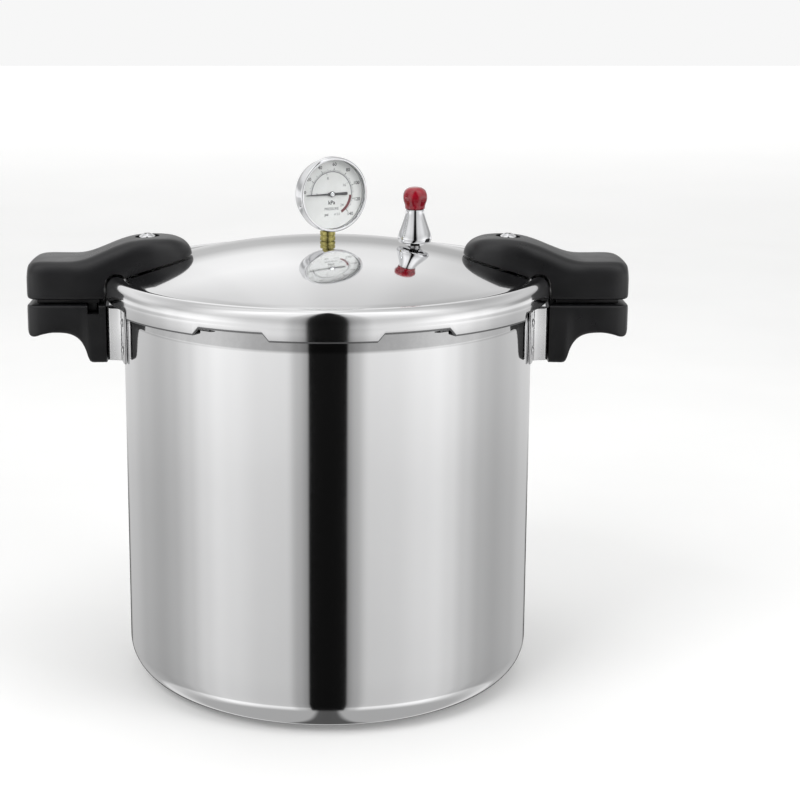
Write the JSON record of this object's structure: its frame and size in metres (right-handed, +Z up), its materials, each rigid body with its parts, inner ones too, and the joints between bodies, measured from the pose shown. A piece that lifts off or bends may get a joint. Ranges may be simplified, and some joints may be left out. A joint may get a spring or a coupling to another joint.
{
  "type": "pressure canner",
  "caption": "Deep round aluminium pressure canner with a bayonet lid, two pairs of black grips, a dial pressure gauge and a weighted red-knobbed regulator.",
  "frame": {"origin": "centre of the pot's flat base, on the surface it stands on", "axes": "+Z up along the pot's axis, X along the handles with the regulator towards +X, -Y is the front"},
  "size_m": [0.4728, 0.3528, 0.415],
  "materials": {
    "polished_aluminium": "mirror polished",
    "cast_aluminium": "satin polished casting",
    "chrome": "bright plated",
    "steel": "plain steel",
    "brass": "dull brass",
    "black_phenolic": "satin moulded phenolic",
    "rubber": "matte black rubber",
    "silicone": "translucent grey silicone",
    "red_knob": "glossy dark red",
    "dial_white": "white enamel with printed scale",
    "pointer_black": "matte black",
    "gauge_glass": "clear"
  },
  "bodies": {
    "pot": {"pot_body": "polished_aluminium", "bracket_rivet_L1": "cast_aluminium", "bracket_rivet_L2": "cast_aluminium", "bracket_rivet_L3": "cast_aluminium", "bracket_rivet_L4": "cast_aluminium", "bracket_rivet_R1": "cast_aluminium", "bracket_rivet_R2": "cast_aluminium", "bracket_rivet_R3": "cast_aluminium", "bracket_rivet_R4": "cast_aluminium", "pot_bracket_L": "cast_aluminium", "pot_bracket_R": "cast_aluminium", "pot_handle_L": "black_phenolic", "pot_handle_R": "black_phenolic", "pot_handle_screw_L1": "steel", "pot_handle_screw_L2": "steel", "pot_handle_screw_R1": "steel", "pot_handle_screw_R2": "steel"},
    "rack": {"canning_rack": "polished_aluminium"},
    "seal": {"gasket": "silicone"},
    "lid": {"lid": "polished_aluminium", "overpressure_plug": "rubber", "vent_pipe": "steel", "vent_nut": "chrome", "gauge_stem": "brass", "gauge_nut": "brass", "gauge_washer": "rubber", "gauge_case": "chrome", "gauge_bezel": "chrome", "gauge_lens": "gauge_glass", "gauge_dial": "dial_white", "movement_plate": "brass", "bourdon_tube": "brass", "lid_boss_L": "cast_aluminium", "lid_boss_R": "cast_aluminium", "lid_handle_L": "black_phenolic", "lid_handle_R": "black_phenolic", "lid_handle_screw_L": "chrome", "lid_handle_screw_R": "chrome"},
    "regulator": {"regulator_weight": "chrome", "regulator_knob": "red_knob"},
    "sector": {"sector_gear": "brass"},
    "pointer": {"pinion_shaft": "steel", "gauge_pointer": "pointer_black"}
  },
  "joints": [
    {"name": "lid_lift", "type": "slide", "parent": "pot", "child": "seal", "axis": [0, 0, 1], "range_m": [0, 0.3]},
    {"name": "lid_turn", "type": "hinge", "parent": "seal", "child": "lid", "pos_m": [0, 0, 0.3], "axis": [0, 0, 1], "range_deg": [0, 22.5]},
    {"name": "regulator_lift", "type": "slide", "parent": "lid", "child": "regulator", "axis": [0, 0, 1], "range_m": [0, 0.05]},
    {"name": "gauge_sector_turn", "type": "hinge", "parent": "lid", "child": "sector", "pos_m": [0, 0, 0.3715], "axis": [0.4695, -0.8829, 0], "range_deg": [0, 37.5]},
    {"name": "gauge_pointer_turn", "type": "hinge", "parent": "lid", "child": "pointer", "pos_m": [0, 0, 0.3855], "axis": [-0.4695, 0.8829, 0], "range_deg": [0, 225]},
    {"name": "rack_lift", "type": "slide", "parent": "pot", "child": "rack", "axis": [0, 0, 1], "range_m": [0, 0.25]}
  ],
  "couplings": [
    {"joint": "gauge_pointer_turn", "follows": "gauge_sector_turn", "ratio": 6}
  ]
}
